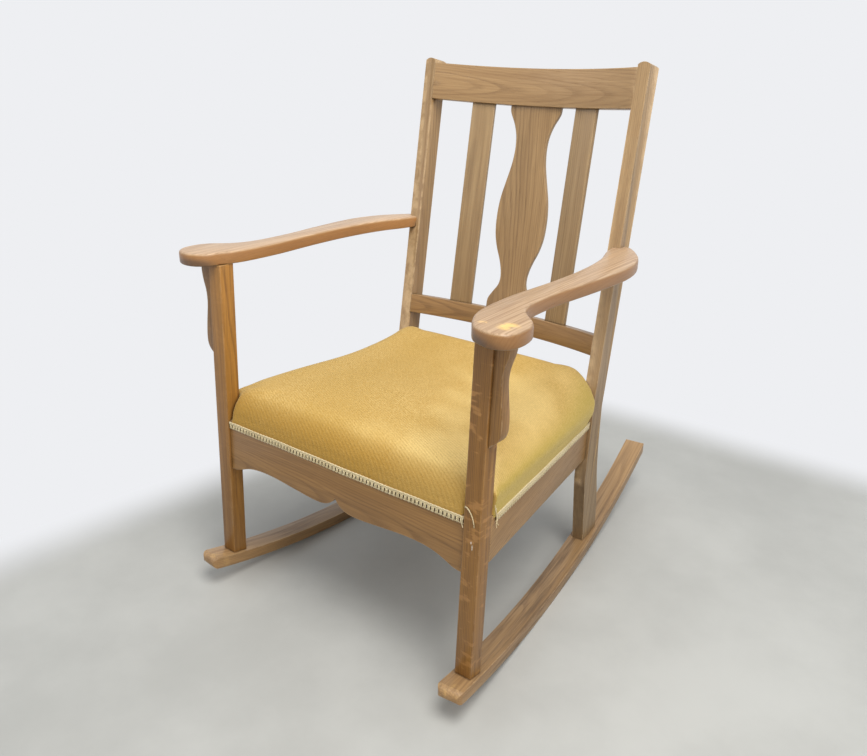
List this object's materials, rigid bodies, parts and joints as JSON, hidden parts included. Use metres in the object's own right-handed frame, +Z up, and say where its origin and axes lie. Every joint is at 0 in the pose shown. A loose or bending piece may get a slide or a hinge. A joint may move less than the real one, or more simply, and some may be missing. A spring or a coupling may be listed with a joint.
{
  "type": "rocking armchair",
  "caption": "Oak rocking armchair with bowed rockers, vase splat between slats, flat shaped arms on corbels and a sprung upholstered seat.",
  "frame": {"origin": "on the floor under the middle of the chair's box, between the two rockers", "axes": "+Z up, the chair faces -Y, +X is the sitter's left"},
  "size_m": [0.718, 0.8812, 0.9673],
  "materials": {
    "oak": "old clear-finished oak, open grain, satin, rubbed at the edges",
    "inner_wood": "unfinished hardwood, dull",
    "upholstery": "mustard gold woven cover with a soft pile sheen",
    "gimp_braid": "cream scroll gimp braid",
    "jute_web": "coarse jute webbing",
    "burlap_cloth": "open plain-woven burlap",
    "stuffing_fibre": "matted cotton and fibre",
    "spring_wire": "dull drawn steel wire"
  },
  "bodies": {
    "root": {"rocker_left": "oak", "rocker_right": "oak", "front_leg_left": "oak", "front_leg_right": "oak", "back_post_left": "oak", "back_post_right": "oak", "front_seat_rail": "oak", "side_seat_rail_left": "oak", "side_seat_rail_right": "oak", "back_seat_rail": "oak", "crest_rail": "oak", "lower_back_rail": "oak", "back_slat_left": "oak", "back_slat_right": "oak", "center_splat": "oak", "arm_left": "oak", "arm_right": "oak", "arm_corbel_left": "oak", "arm_corbel_right": "oak", "corner_block_front_left": "inner_wood", "corner_block_front_right": "inner_wood", "corner_block_back_left": "inner_wood", "corner_block_back_right": "inner_wood", "web_cleat_front": "inner_wood", "web_cleat_back": "inner_wood", "web_cleat_left": "inner_wood", "web_cleat_right": "inner_wood", "webbing_long_1": "jute_web", "webbing_long_2": "jute_web", "webbing_long_3": "jute_web", "webbing_cross_1": "jute_web", "webbing_cross_2": "jute_web", "webbing_cross_3": "jute_web", "seat_spring_1": "spring_wire", "seat_spring_2": "spring_wire", "seat_spring_3": "spring_wire", "seat_spring_4": "spring_wire", "seat_spring_5": "spring_wire", "seat_spring_6": "spring_wire", "seat_spring_7": "spring_wire", "seat_spring_8": "spring_wire", "seat_spring_9": "spring_wire", "burlap": "burlap_cloth", "seat_stuffing": "stuffing_fibre", "seat_cover": "upholstery", "gimp_front": "gimp_braid", "gimp_back": "gimp_braid", "gimp_left": "gimp_braid", "gimp_right": "gimp_braid", "rocker_pin_front_left": "inner_wood", "rocker_pin_front_right": "inner_wood", "rocker_pin_back_left": "inner_wood", "rocker_pin_back_right": "inner_wood", "arm_pin_left": "inner_wood", "arm_pin_right": "inner_wood"}
  },
  "joints": []
}
